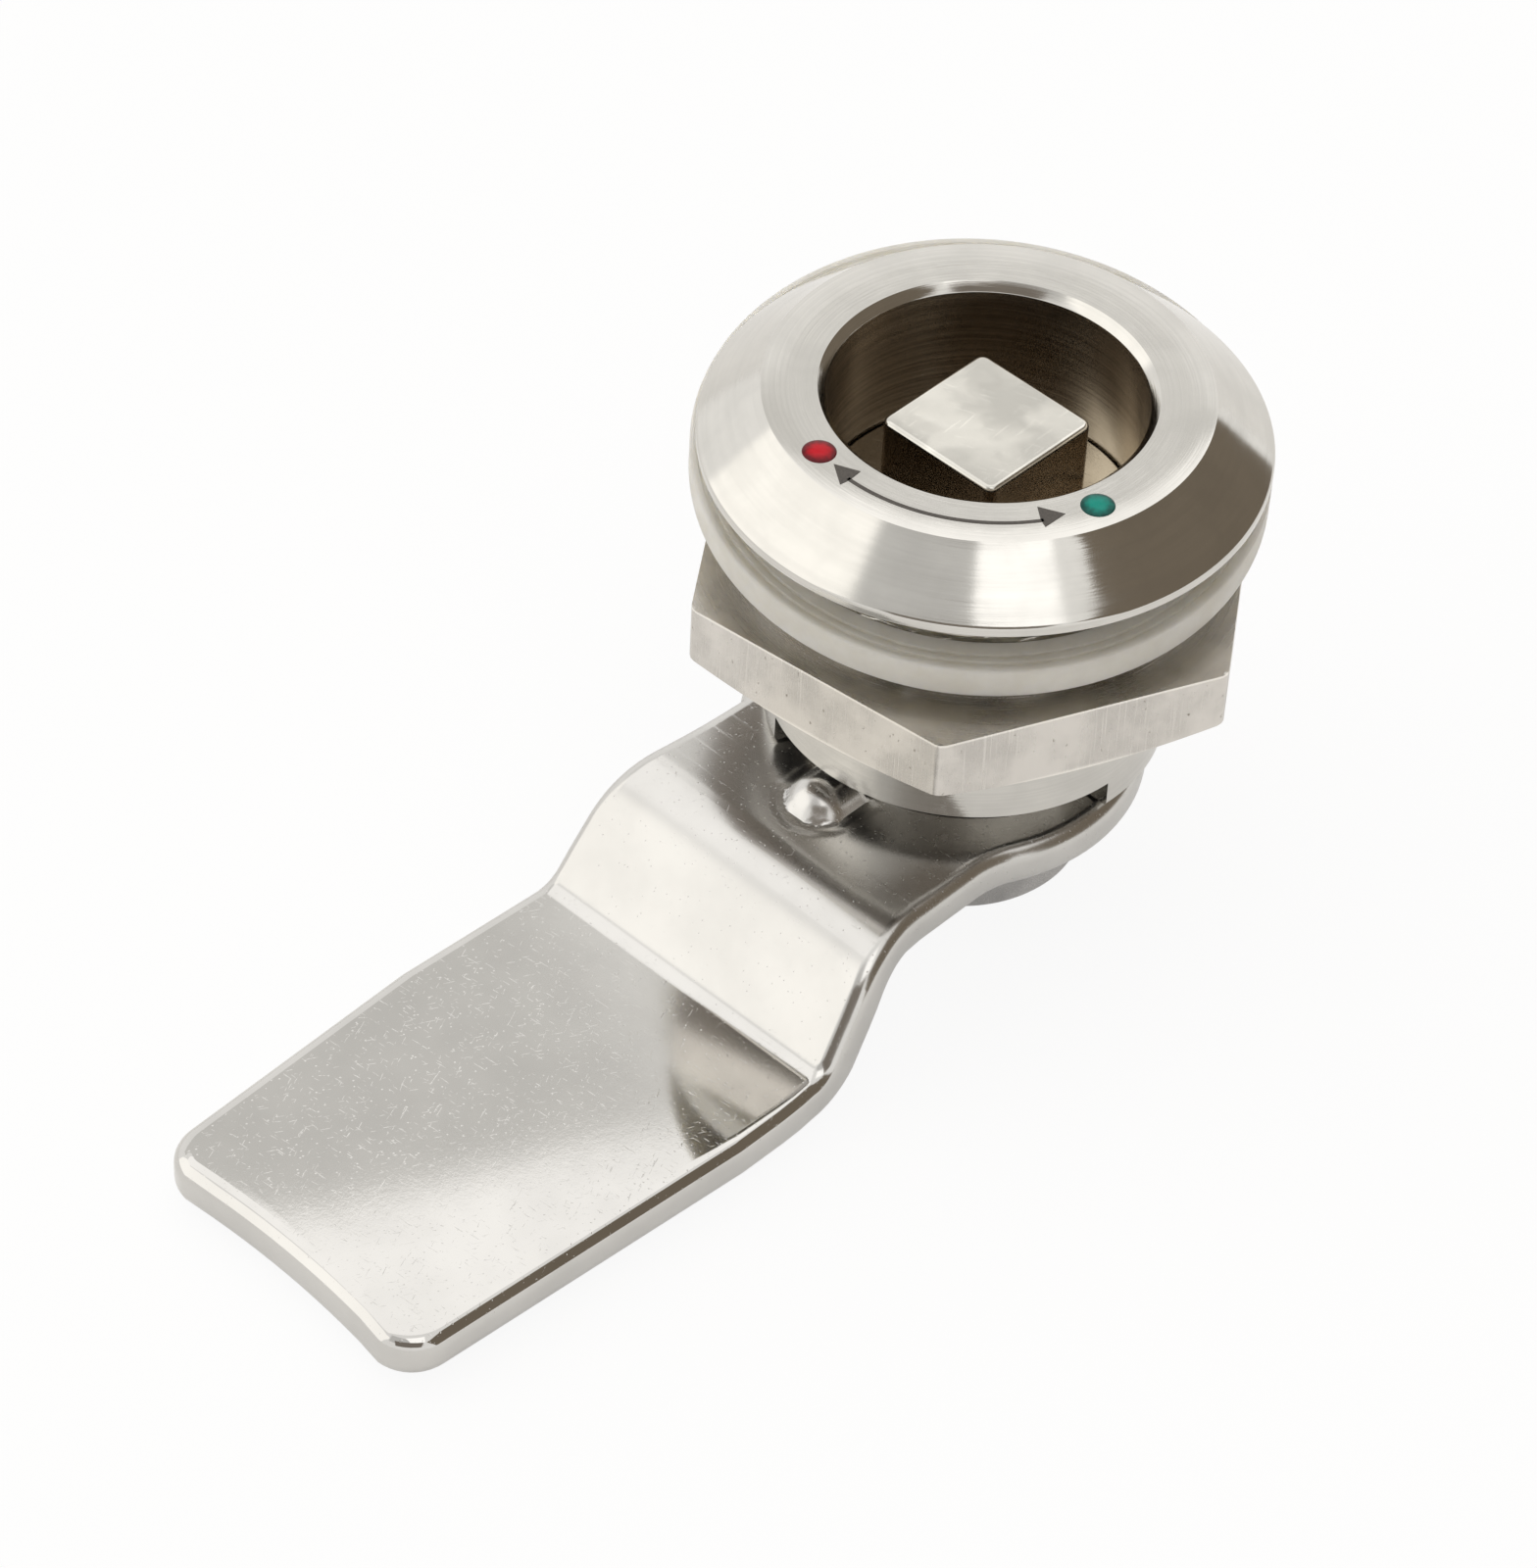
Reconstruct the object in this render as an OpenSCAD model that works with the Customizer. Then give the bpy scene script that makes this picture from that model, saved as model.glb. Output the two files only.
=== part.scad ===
// Quarter-turn furniture lock: a turned head with a square key spindle, a threaded shank with
// its nut and gasket, and a cranked cam that swings a quarter turn behind the door.
// Origin: on the lock's axis, in the plane where the head seats on the door. +Z points out of
// the door, towards the key. The cam's closed stop lies towards -Y and its open stop towards +X.

/* [Head] */
// Diameter of the head
head_d = 26.8; // [26:0.2:34]
// Height of the head above the door
head_h = 3.2; // [2.6:0.1:5]
// Distance from the head's edge in to the flat face on its top
face_inset = 2.9; // [2.4:0.1:3.4]
// Height of the upright edge below the cone
rim_h = 0.5; // [0.3:0.05:1]
// Width of the bevel round the head's lower edge
rim_bevel = 0.1; // [0.05:0.05:0.2]
// Diameter of the key recess
recess_d = 15; // [13:0.5:16]
// Width of the bevel at the recess's mouth
recess_bevel = 0.4; // [0.1:0.1:0.8]
// Depth of the key recess, from the face to the spindle's flange
recess_h = 7.4; // [5:0.1:9]

/* [Shank] */
// Outer diameter of the shank's thread
thread_d = 20; // [19:0.5:22]
// Length of the thread below the head
thread_l = 11; // [10:0.5:12]
// Diameter of the plain collar below the thread
collar_d = 19.3; // [18.4:0.1:20]
// Length of the shank, from the door's outside to its lower end
shank_l = 16.3; // [15:0.1:24]
// Width of the bevel round the shank's lower end
shank_bevel = 0.25; // [0.1:0.05:0.6]

/* [Turning] */
// Angle between the closed and the open stop
travel = 90; // [60:5:120]
// Angle that the cam stands from its closed stop when at rest
rest_turn = 15; // [0:1:30]
// Height of the stop notch in the shank's lower end
notch_h = 1.4; // [1.2:0.1:3]
// Inner diameter of the stop notch
notch_in_d = 15.8; // [14.5:0.1:16.4]
// Sideways clearance of the stop lug in the notch
notch_gap = 0.06; // [0.02:0.01:0.2]

/* [Spindle] */
// Width across flats of the square that the key turns
key_w = 7; // [6:0.5:8]
// Height of the key square above the spindle's flange
key_h = 5.5; // [3:0.1:6.5]
// Width of the bevel round the key square's top
key_bevel = 0.25; // [0.1:0.05:0.5]
// Radius of the key square's upright edges
key_round = 0.5; // [0.2:0.1:1]
// Thickness of the spindle's flange
flange_t = 2; // [1:0.1:3]
// Diameter of the spindle's shaft
shaft_d = 12; // [11:0.5:12.5]
// Running clearance round the spindle, on the radius
run_gap = 0.05; // [0.02:0.01:0.1]
// Width across flats of the square that carries the cam
drive_w = 7; // [6:0.5:8]
// Thickness of the sealing ring's cord
ring_t = 1.6; // [1:0.1:2]
// Depth of the sealing ring's middle below the flange's seat
ring_z = 4; // [2:0.1:6]

/* [Cam] */
// Thickness of the cam's plate
cam_t = 2.4; // [2:0.1:3]
// Diameter of the cam's round hub
hub_d = 19.6; // [18:0.1:24]
// Distance that the hub's middle lies ahead of the axis, towards the blade
hub_ahead = 1.4; // [0:0.1:2.5]
// Width of the cam's neck beside the hub
neck_w = 16; // [13:0.2:18]
// Width of the cam's blade beside the lower bend
blade_w = 19.2; // [16:0.4:24]
// Width that the blade loses on its way to its end
blade_taper = 1.3; // [0:0.1:3]
// Reach of the cam, from the axis to the blade's end
reach = 45.1; // [38:0.1:60]
// Drop of the blade below the hub
crank = 4.85; // [4.2:0.05:9]
// Slope of the plate between its two bends
crank_angle = 50; // [45:1:58]
// Distance from the axis to where the upper bend starts
crank_u = 12.8; // [12.4:0.1:16]
// Outer radius of the upper bend
bend_out_r = 5.5; // [4:0.1:6]
// Inner radius of the lower bend
bend_in_r = 1.6; // [0.8:0.1:2]
// Radius of the blade's end corners
tip_round = 2.3; // [1:0.1:4]
// Depth of the shallow hollow in the blade's end
tip_hollow = 0.7; // [0:0.1:1.2]
// Width of the cam's stop lug
lug_w = 3.2; // [2:0.1:4]
// Height of the stop lug above the plate
lug_h = 1.25; // [0.8:0.05:1.3]
// Distance from the axis to the lug's outer end
lug_reach = 11.6; // [10.2:0.1:12]
// Distance that the cam keeps below the shank's end
cam_gap = 0.15; // [0.05:0.05:0.3]
// Clearance of the cam's square hole on its drive, on each side
drive_gap = 0.05; // [0.02:0.01:0.1]

/* [Nut] */
// Distance that the nut's flats stay inside the head's edge
nut_inset = 0.9; // [0.2:0.1:1.2]
// Thickness of the nut
nut_t = 3.7; // [2.5:0.1:5]
// Depth of the nut's upper face below the door's outside
nut_z = 6; // [5.6:0.1:7]
// Turn of the nut at rest
nut_turn = 21; // [0:1:60]
// Height of the bevel round the nut's lower corners
nut_bevel = 0.6; // [0.1:0.1:1.2]
// Clearance between the nut and the thread, on the radius
nut_gap = 0.05; // [0.02:0.01:0.1]

/* [Gasket] */
// Distance that the gasket, seated straight, stands out beyond the head's edge
gasket_over = 0.2; // [0:0.05:0.4]
// Width of the gasket's section
gasket_band = 1.8; // [1.5:0.1:2.2]
// Thickness of the gasket
gasket_t = 1.8; // [1.2:0.1:2.2]
// Tilt of the loose gasket below the head
gasket_tilt = 7; // [3:0.5:8]
// Direction in which the loose gasket rises
gasket_turn = 150; // [0:5:355]
// Clearance between the gasket and what it touches
gasket_gap = 0.15; // [0.05:0.05:0.3]
// Depth of the two grooves in the gasket's face
groove_h = 0.25; // [0.1:0.05:0.4]
// Width of each groove
groove_w = 0.25; // [0.15:0.05:0.35]

/* [Cam screw] */
// Diameter of the cam screw's shank
screw_d = 6; // [5:0.5:6.5]
// Length of the cam screw's shank below its head
screw_l = 12; // [8:1:14]
// Diameter of the screw's round head
screw_head_d = 12.6; // [10:0.2:14]
// Height of the screw's head
screw_head_h = 3.9; // [3:0.1:5]
// Rounding of the screw head's lower edge
screw_round = 0.6; // [0.3:0.1:1]
// Width across flats of the key socket in the screw's head
socket_w = 5; // [4:0.5:6]
// Depth of the key socket
socket_h = 2.5; // [1.5:0.1:3]
// Outer diameter of the spring washer
washer_d = 11.8; // [10.5:0.1:13]
// Thickness of the spring washer
washer_t = 1.6; // [1:0.1:2]
// Width of the spring washer's slit
washer_slit = 0.9; // [0.5:0.1:1.5]

/* [Marks] */
// Diameter of the enamel marks on the face
mark_d = 1.7; // [1:0.1:2]
// Distance that the enamel marks stand inside the middle of the face's ring
mark_inset = 0.05; // [0:0.05:0.1]
// Depth of the pockets that hold the enamel
mark_h = 0.3; // [0.2:0.05:0.5]
// Height of the enamel's dome above the face
mark_dome = 0.12; // [0.05:0.01:0.2]

/* [Hidden] */
$fn = 96;
eps = 0.01;

// Widths that follow the head
face_d = head_d - 2 * face_inset;
gasket_d = head_d + 2 * gasket_over;
nut_w = head_d - 2 * nut_inset;
mark_r = (recess_d / 2 + recess_bevel + face_d / 2) / 2 - mark_inset;

// Directions of the two stops and of the cam at rest
closed_turn = -90;
open_turn = closed_turn + travel;
cam_turn = closed_turn + rest_turn;

// Heights along the axis
flange_z = head_h - recess_h;
seat_z = flange_z - flange_t;
cam_z = -shank_l - cam_gap;
cam_low_z = cam_z - cam_t;
washer_z = cam_low_z - washer_t;
// The drive's end stays a little inside the cam's lower face
drive_l = cam_t - 0.2;
bore_r = shaft_d / 2 + run_gap;
tap_gap = 0.05;

// The lug is a lying cylinder, sunk so far that it stands lug_h proud at a width of lug_w
lug_r = (lug_w * lug_w / 4 + lug_h * lug_h) / (2 * lug_h);
lug_in = notch_in_d / 2 + 0.3;
lug_half_turn = asin((lug_w / 2 + notch_gap) / lug_in);

// The crank's straight stretch, from its drop and its two bends
slope_l = (crank - (bend_out_r + bend_in_r) * (1 - cos(crank_angle))) / sin(crank_angle);
blade_u = crank_u + (bend_out_r + bend_in_r) * sin(crank_angle) + slope_l * cos(crank_angle);

// The cam widens from its neck to its blade between these distances from the axis
widen_from = crank_u - 2;
widen_to = blade_u + 3;

// Clearance of the sealing ring and of the enamel in their places
fit = 0.02;

// The loose gasket has slipped aside until its bore nearly leans on the thread, and its upper
// face lies below the head's edge where it rises
thread_clear = 0.1;
gasket_bore = gasket_d - 2 * gasket_band;
gasket_slip = gasket_bore / 2 * cos(gasket_tilt) - gasket_t / 2 * sin(gasket_tilt)
    - thread_d / 2 - thread_clear;
gasket_z = -gasket_gap - gasket_t / 2 / cos(gasket_tilt) - (head_d / 2 - gasket_slip) * tan(gasket_tilt);

// Points of a round stretch from angle a to angle b
function arc(x, y, r, a, b, n = 12) =
    [for (i = [0:n]) [x + r * cos(a + (b - a) * i / n), y + r * sin(a + (b - a) * i / n)]];

// A ring of rectangular section from z0 to z1
module ring(r_in, r_out, z0, z1) {
    translate([0, 0, z0]) difference() {
        cylinder(r = r_out, h = z1 - z0);
        translate([0, 0, -1]) cylinder(r = r_in, h = z1 - z0 + 2);
    }
}

// A square with rounded corners
module rounded_square(w, r) {
    union() {
        square([w, w - 2 * r], center = true);
        square([w - 2 * r, w], center = true);
        for (x = [-1, 1], y = [-1, 1]) translate([x, y] * (w / 2 - r)) circle(r = r);
    }
}

// Outline of the housing's outside, turned about the axis
module housing_outline() {
    thread_run = 0.4;
    polygon([
        [0, -shank_l], [collar_d / 2 - shank_bevel, -shank_l], [collar_d / 2, -shank_l + shank_bevel],
        [collar_d / 2, -thread_l], [thread_d / 2, -thread_l + thread_run], [thread_d / 2, 0],
        [head_d / 2 - rim_bevel, 0], [head_d / 2, rim_bevel], [head_d / 2, rim_h],
        [face_d / 2, head_h], [0, head_h]]);
}

// The key recess, the flange's seat and the spindle's bore
module housing_bore() {
    rotate_extrude() polygon([
        [0, -shank_l - 1], [bore_r, -shank_l - 1], [bore_r, seat_z], [recess_d / 2, seat_z],
        [recess_d / 2, head_h - recess_bevel], [recess_d / 2 + recess_bevel, head_h],
        [recess_d / 2 + recess_bevel, head_h + 1], [0, head_h + 1]]);
}

// The notch that the cam's lug travels in: a sector between two radii
module stop_notch() {
    from = closed_turn - lug_half_turn;
    to = open_turn + lug_half_turn;
    far = head_d;
    translate([0, 0, -shank_l - 1]) linear_extrude(notch_h + 1) difference() {
        polygon(concat([[0, 0]], arc(0, 0, far, from, to, 8)));
        circle(d = notch_in_d);
    }
}

// The place of an enamel mark on the face
module at_mark(turn) {
    rotate(turn) translate([mark_r, 0, head_h]) children();
}

module housing() {
    color("silver") difference() {
        rotate_extrude() housing_outline();
        housing_bore();
        stop_notch();
        for (turn = [closed_turn, open_turn])
            at_mark(turn) translate([0, 0, -mark_h]) cylinder(d = mark_d, h = mark_h + 1);
    }
}

// The square that the key turns, bevelled along the four edges of its top
module key_square(h) {
    half = key_w / 2;
    intersection() {
        linear_extrude(h) rounded_square(key_w, key_round);
        for_both_ways() rotate([90, 0, 0]) translate([0, 0, -half]) linear_extrude(key_w) polygon([
            [-half, 0], [half, 0], [half, h - key_bevel], [half - key_bevel, h],
            [key_bevel - half, h], [-half, h - key_bevel]]);
    }
}

// What two copies, one turned by a quarter, have in common
module for_both_ways() {
    intersection() {
        children();
        rotate(90) children();
    }
}

// The key's square, its flange, the shaft with the ring's groove, and the square that drives the cam
module spindle() {
    flange_r = recess_d / 2 - run_gap;
    groove_side = 0.1;
    groove_half = ring_t / 2 + groove_side;
    groove_r = bore_r - ring_t - fit;
    groove_z = seat_z - ring_z;
    color("gainsboro") difference() {
        union() {
            translate([0, 0, flange_z - eps]) rotate(cam_turn) key_square(key_h + eps);
            translate([0, 0, seat_z]) cylinder(r = flange_r, h = flange_t);
            rotate_extrude() polygon([
                [0, cam_z], [shaft_d / 2, cam_z], [shaft_d / 2, groove_z - groove_half],
                [groove_r, groove_z - groove_half], [groove_r, groove_z + groove_half],
                [shaft_d / 2, groove_z + groove_half], [shaft_d / 2, seat_z + eps], [0, seat_z + eps]]);
            rotate(cam_turn) translate([0, 0, cam_z - drive_l])
                linear_extrude(drive_l + eps) rounded_square(drive_w, key_round);
        }
        translate([0, 0, cam_z - drive_l - 1])
            cylinder(r = screw_d / 2 + tap_gap, h = screw_l - washer_t - cam_t + drive_l + 2);
    }
}

module spindle_o_ring() {
    color("dimgray") translate([0, 0, seat_z - ring_z])
        rotate_extrude() polygon(arc(bore_r - fit - ring_t / 2, 0, (ring_t - fit) / 2, 0, 337.5, 15));
}

// A flat ring with two grooves in its upper face, lying tilted under the head
module panel_gasket() {
    r_in = gasket_bore / 2;
    r_out = gasket_d / 2;
    pitch = (r_out - r_in) / 4;
    color("whitesmoke") rotate(gasket_turn) translate([gasket_slip, 0, gasket_z])
        rotate([0, -gasket_tilt, 0]) difference() {
            ring(r_in, r_out, -gasket_t / 2, gasket_t / 2);
            for (i = [2, 3])
                ring(r_in + i * pitch - groove_w / 2, r_in + i * pitch + groove_w / 2,
                     gasket_t / 2 - groove_h, gasket_t / 2 + 1);
        }
}

module hex_nut() {
    corner_r = nut_w / sqrt(3);
    bore = thread_d / 2 + nut_gap;
    color("lightgray") translate([0, 0, -nut_z - nut_t]) difference() {
        intersection() {
            rotate(nut_turn) cylinder(r = corner_r, h = nut_t, $fn = 6);
            rotate_extrude() polygon([
                [0, 0], [nut_w / 2, 0], [corner_r + eps, nut_bevel], [corner_r + eps, nut_t], [0, nut_t]]);
        }
        translate([0, 0, -1]) cylinder(r = bore, h = nut_t + 2);
        rotate_extrude() polygon([[0, -1], [bore + 0.5, -1], [bore + 0.5, 0], [bore, 0.5], [0, 0.5]]);
    }
}

// Side view of the bent plate: u runs along the arm, and the hub's upper face lies at 0
module crank_profile() {
    a = crank_angle;
    r1 = bend_out_r;
    r2 = bend_in_r;
    // Centre of the upper bend, below the plate, and of the lower bend, above it
    low = [crank_u, -r1];
    high = [blade_u, -crank + r2];
    polygon(concat(
        [[-hub_d, -cam_t], [-hub_d, 0]],
        arc(low[0], low[1], r1, 90, 90 - a),
        arc(high[0], high[1], r2, 270 - a, 270),
        [[reach + 1, -crank], [reach + 1, -crank - cam_t]],
        arc(high[0], high[1], r2 + cam_t, 270, 270 - a),
        arc(low[0], low[1], r1 - cam_t, 90 - a, 90)));
}

// Top view of the cam, with the arm along +X
module cam_outline() {
    blade = blade_w / 2;
    neck = neck_w / 2;
    end = (blade_w - blade_taper) / 2;
    tip = reach - tip_round;
    // Smooth widening, as pairs of distance and half width
    flare = [for (t = [0:0.125:1])
        [widen_from + (widen_to - widen_from) * t, neck + (blade - neck) * (1 - cos(180 * t)) / 2]];
    union() {
        translate([hub_ahead, 0]) circle(d = hub_d);
        polygon(concat(
            [[0, neck]], flare,
            arc(tip, end - tip_round, tip_round, 90, 0, 8),
            [for (v = [0.6:-0.2:-0.6]) [reach - tip_hollow * (1 - pow(v + 0.2, 2)), v * end]],
            arc(tip - tip_hollow / 2, -end + tip_round, tip_round, 0, -90, 8),
            [for (i = [len(flare) - 1:-1:0]) [flare[i][0], -flare[i][1]]], [[0, -neck]]));
    }
}

// The stop lug: a lying round bar with a domed outer end, sunk into the plate
module stop_lug() {
    translate([0, 0, lug_h - lug_r]) {
        translate([lug_in, 0, 0]) rotate([0, 90, 0]) cylinder(r = lug_r, h = lug_reach - lug_r - lug_in);
        translate([lug_reach - lug_r, 0, 0]) sphere(r = lug_r);
    }
}

module cam() {
    color("silver") translate([0, 0, cam_z]) rotate(cam_turn) difference() {
        union() {
            intersection() {
                rotate([90, 0, 0]) translate([0, 0, -blade_w]) linear_extrude(2 * blade_w) crank_profile();
                translate([0, 0, -crank - cam_t - 1]) linear_extrude(crank + cam_t + 2) cam_outline();
            }
            stop_lug();
        }
        translate([0, 0, -cam_t - 1]) linear_extrude(cam_t + 2)
            rounded_square(drive_w + 2 * drive_gap, key_round);
    }
}

// A split ring between the cam and the screw's head
module spring_washer() {
    color("gray") difference() {
        ring(screw_d / 2 + 0.1, washer_d / 2, washer_z, cam_low_z);
        translate([0, -washer_slit / 2, washer_z - 1]) cube([washer_d, washer_slit, washer_t + 2]);
    }
}

// A screw with a round head, rounded along its lower edge, and a hexagonal key socket
module cam_screw() {
    head_r = screw_head_d / 2;
    color("lightgray") union() {
        translate([0, 0, washer_z - screw_head_h]) difference() {
            rotate_extrude() polygon(concat(
                [[0, 0]], arc(head_r - screw_round, screw_round, screw_round, -90, 0, 6),
                [[head_r, screw_head_h], [0, screw_head_h]]));
            translate([0, 0, -1]) cylinder(r = socket_w / sqrt(3), h = socket_h + 1, $fn = 6);
        }
        translate([0, 0, washer_z - eps]) cylinder(d = screw_d, h = screw_l);
    }
}

// A drop of enamel that fills its pocket and stands slightly proud
module enamel(turn) {
    r = mark_d / 2 - fit;
    dome_r = (r * r + mark_dome * mark_dome) / (2 * mark_dome);
    at_mark(turn) rotate_extrude() union() {
        translate([0, -mark_h]) square([r, mark_h]);
        intersection() {
            translate([0, mark_dome - dome_r]) circle(r = dome_r);
            translate([0, -eps]) square([r, mark_dome + 2 * eps]);
        }
    }
}

module red_mark() {
    color("crimson") enamel(closed_turn);
}

module green_mark() {
    color("teal") enamel(open_turn);
}

housing();
spindle();
spindle_o_ring();
panel_gasket();
hex_nut();
cam();
spring_washer();
cam_screw();
red_mark();
green_mark();
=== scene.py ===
# %% [markdown]
# A quarter-turn furniture lock, dressed for a studio picture. The solids of the lock come in as a
# fixed frame. They are true in size but plain, so each piece that shows is modelled again here in
# finer detail, in the same place, and rides on the same moving body as the solid that it replaces.

# %% Load the fixed frame
from math import atan2, cos, degrees, hypot, pi, radians, sin, sqrt

import bmesh
import bpy
from mathutils import Matrix, Vector


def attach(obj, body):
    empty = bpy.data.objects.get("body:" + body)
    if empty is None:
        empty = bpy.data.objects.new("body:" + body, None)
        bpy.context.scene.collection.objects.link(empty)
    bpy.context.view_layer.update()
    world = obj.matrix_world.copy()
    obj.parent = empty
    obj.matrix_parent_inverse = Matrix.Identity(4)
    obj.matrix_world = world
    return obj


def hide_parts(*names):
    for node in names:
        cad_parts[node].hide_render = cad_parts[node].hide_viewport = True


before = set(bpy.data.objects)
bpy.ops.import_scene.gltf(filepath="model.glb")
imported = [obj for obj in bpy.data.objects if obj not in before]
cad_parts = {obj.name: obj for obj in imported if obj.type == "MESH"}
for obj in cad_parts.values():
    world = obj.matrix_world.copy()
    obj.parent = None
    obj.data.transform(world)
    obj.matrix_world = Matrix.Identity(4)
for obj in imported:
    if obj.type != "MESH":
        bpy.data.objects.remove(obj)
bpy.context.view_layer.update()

scene = bpy.context.scene

# %% [markdown]
# Everything is drawn in millimetres, because a lock maker thinks in them, and turned into metres
# when a piece is finished. These sizes repeat the ones of the solids, so a piece fits its place.
# Z runs along the lock's axis, out of the door towards the key, and starts at the head's seat.

# %% Sizes of the lock, in millimetres and degrees
HEAD_R, HEAD_H, FACE_R, RIM_H = 13.4, 3.2, 10.5, 0.5
RECESS_R, RECESS_BEVEL, SEAT_Z, FLANGE_Z = 7.5, 0.4, -6.2, -4.2
BORE_R, THREAD_R, THREAD_L, PITCH, COLLAR_R, SHANK_L = 6.05, 10.0, 11.0, 1.5, 9.65, 16.3
NOTCH_R, NOTCH_Z = 7.9, -14.9
CLOSED, OPEN, CAM_TURN, NOTCH_EXTRA = -90.0, 0.0, -75.0, 11.68
CAM_Z, CAM_T, HUB_R, HUB_AHEAD, REACH = -16.45, 2.4, 9.8, 1.4, 45.1
CRANK, SLOPE, CRANK_U, BEND_OUT, BEND_IN = 4.85, radians(50), 12.8, 5.5, 1.6
LUG_W, LUG_H, LUG_REACH = 3.2, 1.25, 11.6
NUT_FLATS, NUT_TOP, NUT_LOW = 25.0, -6.0, -9.7
WASHER_Z = CAM_Z - CAM_T - 1.6
SCREW_LOW = WASHER_Z - 3.9
FLOOR_Z = SCREW_LOW - 0.02
print("head", 2 * HEAD_R, "across, cam reaches", REACH, "from the axis, floor at", round(FLOOR_Z, 2))

# %% [markdown]
# Each piece is built as a bmesh, which is Blender's mesh for modelling by operators. Finishing it
# is the same every time: doubled points are merged, the faces are turned outwards, the mesh is
# scaled to metres, and edges that are sharper than a given angle are kept sharp in the shading.
# It could be done for each piece where it is made, but one function keeps them all alike.


# %% Finish a bmesh as a piece that rides on its body
def piece(name, bm, body, stands_for, sharp, weighted=False):
    bmesh.ops.remove_doubles(bm, verts=bm.verts, dist=0.0004)
    bmesh.ops.recalc_face_normals(bm, faces=bm.faces)
    mesh = bpy.data.meshes.new(name)
    bm.to_mesh(mesh)
    bm.free()
    mesh.transform(Matrix.Scale(0.001, 4))
    mesh.polygons.foreach_set("use_smooth", [True] * len(mesh.polygons))
    mesh.set_sharp_from_angle(angle=radians(sharp))
    made = bpy.data.objects.new(name, mesh)
    scene.collection.objects.link(made)
    if weighted:
        made.modifiers.new("even_shading", "WEIGHTED_NORMAL").keep_sharp = True
    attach(made, body)
    if stands_for:
        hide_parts(*stands_for)
    print(name, "faces:", len(mesh.polygons), "rides on", body)
    return made


# %% Points of a round corner, and of a straight run
def bend(x, y, r, start, end, steps):
    """Points on an arc round (x, y), from one angle to another, in degrees."""
    turns = [radians(start + (end - start) * i / steps) for i in range(steps + 1)]
    return [(x + r * cos(a), y + r * sin(a)) for a in turns]


def run(a, b, steps):
    """Points from a towards b, without b itself."""
    return [(a[0] + (b[0] - a[0]) * i / steps, a[1] + (b[1] - a[1]) * i / steps) for i in range(steps)]


# %% Turn a profile round the lock's axis, as a lathe does
def turn(bm, profile, steps, start=0.0, angle=360.0, closed=True):
    """Spins (radius, height) points about Z, from a start angle through an angle, in degrees."""
    s, c = sin(radians(start)), cos(radians(start))
    points = [bm.verts.new((r * c, r * s, z)) for r, z in profile]
    pairs = list(zip(points, points[1:])) + ([(points[-1], points[0])] if closed else [])
    edges = [bm.edges.new(pair) for pair in pairs]
    bmesh.ops.spin(bm, geom=points + edges, cent=(0, 0, 0), axis=(0, 0, 1), dvec=(0, 0, 0),
                   angle=radians(angle), steps=steps, use_merge=angle == 360.0)


# %% [markdown]
# ## Housing
# The housing is one turned body: head, recess, threaded shank and collar. Cylinders joined and
# cut by booleans could make it, but they leave thin faces that shade badly. A lathe makes it by
# turning a profile, and so does the spin operator. The stop notch in the lower end covers only a
# part of the turn, so the housing is spun as two sectors, one with a notched profile and one
# without, and the two open ends of the notch are closed afterwards.

# %% Profile of the housing
THREAD_TOP, THREAD_LOW, ROWS_PER_PITCH = -0.3, -THREAD_L - 0.3, 16
EDGE, FOOT_R, BORE_BEVEL, SEAT_ROUND = 0.08, 0.25, 0.3, 0.1
# Extra rings keep the shading of long walls and wide flats even.
WALL_RINGS, COLLAR_RING, SEAT_RING, FACE_RING = (-1.0, -3.0), -12.5, 11.8, 9.2


def housing_profile(notched):
    """Outline of the housing's wall, from the recess down the bore and up the outside."""
    lip = [(RECESS_R + RECESS_BEVEL, HEAD_H), (RECESS_R + 0.03, HEAD_H - RECESS_BEVEL + 0.03),
           (RECESS_R, HEAD_H - RECESS_BEVEL - 0.03)]
    wall = [(RECESS_R, z) for z in (*WALL_RINGS, SEAT_Z)]
    bore = [(BORE_R, SEAT_Z), (BORE_R, SEAT_Z - 5), (BORE_R, -SHANK_L + BORE_BEVEL),
            (BORE_R + BORE_BEVEL, -SHANK_L)]
    if notched:
        foot = [(NOTCH_R, -SHANK_L), (NOTCH_R, NOTCH_Z), (COLLAR_R - EDGE, NOTCH_Z)]
    else:
        foot = [(NOTCH_R, -SHANK_L)] + bend(COLLAR_R - FOOT_R, -SHANK_L + FOOT_R, FOOT_R, -90, 0, 5)
        foot += [(COLLAR_R, NOTCH_Z)]
    collar = [(COLLAR_R, NOTCH_Z + EDGE), (COLLAR_R, COLLAR_RING), (COLLAR_R, THREAD_LOW - 0.15),
              (COLLAR_R - EDGE, THREAD_LOW - 0.07)]
    rows = int((THREAD_L + THREAD_TOP) * ROWS_PER_PITCH / PITCH)
    shank = run((THREAD_R, THREAD_LOW), (THREAD_R, THREAD_TOP), rows)
    seat = [(THREAD_R, THREAD_TOP), (THREAD_R, 0.0), (SEAT_RING, 0.0)]
    seat += bend(HEAD_R - SEAT_ROUND, SEAT_ROUND, SEAT_ROUND, -90, 0, 4)
    rim = [(HEAD_R, RIM_H - 0.06), (HEAD_R - 0.015, RIM_H - 0.01), (HEAD_R - 0.05, RIM_H + 0.04)]
    cone = run((HEAD_R - 0.1, RIM_H + 0.09), (FACE_R + 0.07, HEAD_H - 0.06), 8)
    top = [(FACE_R + 0.07, HEAD_H - 0.06), (FACE_R + 0.03, HEAD_H - 0.02), (FACE_R - 0.04, HEAD_H)]
    return lip + wall + bore + foot + collar + shank + seat + rim + cone + top + [(FACE_RING, HEAD_H)]


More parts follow.
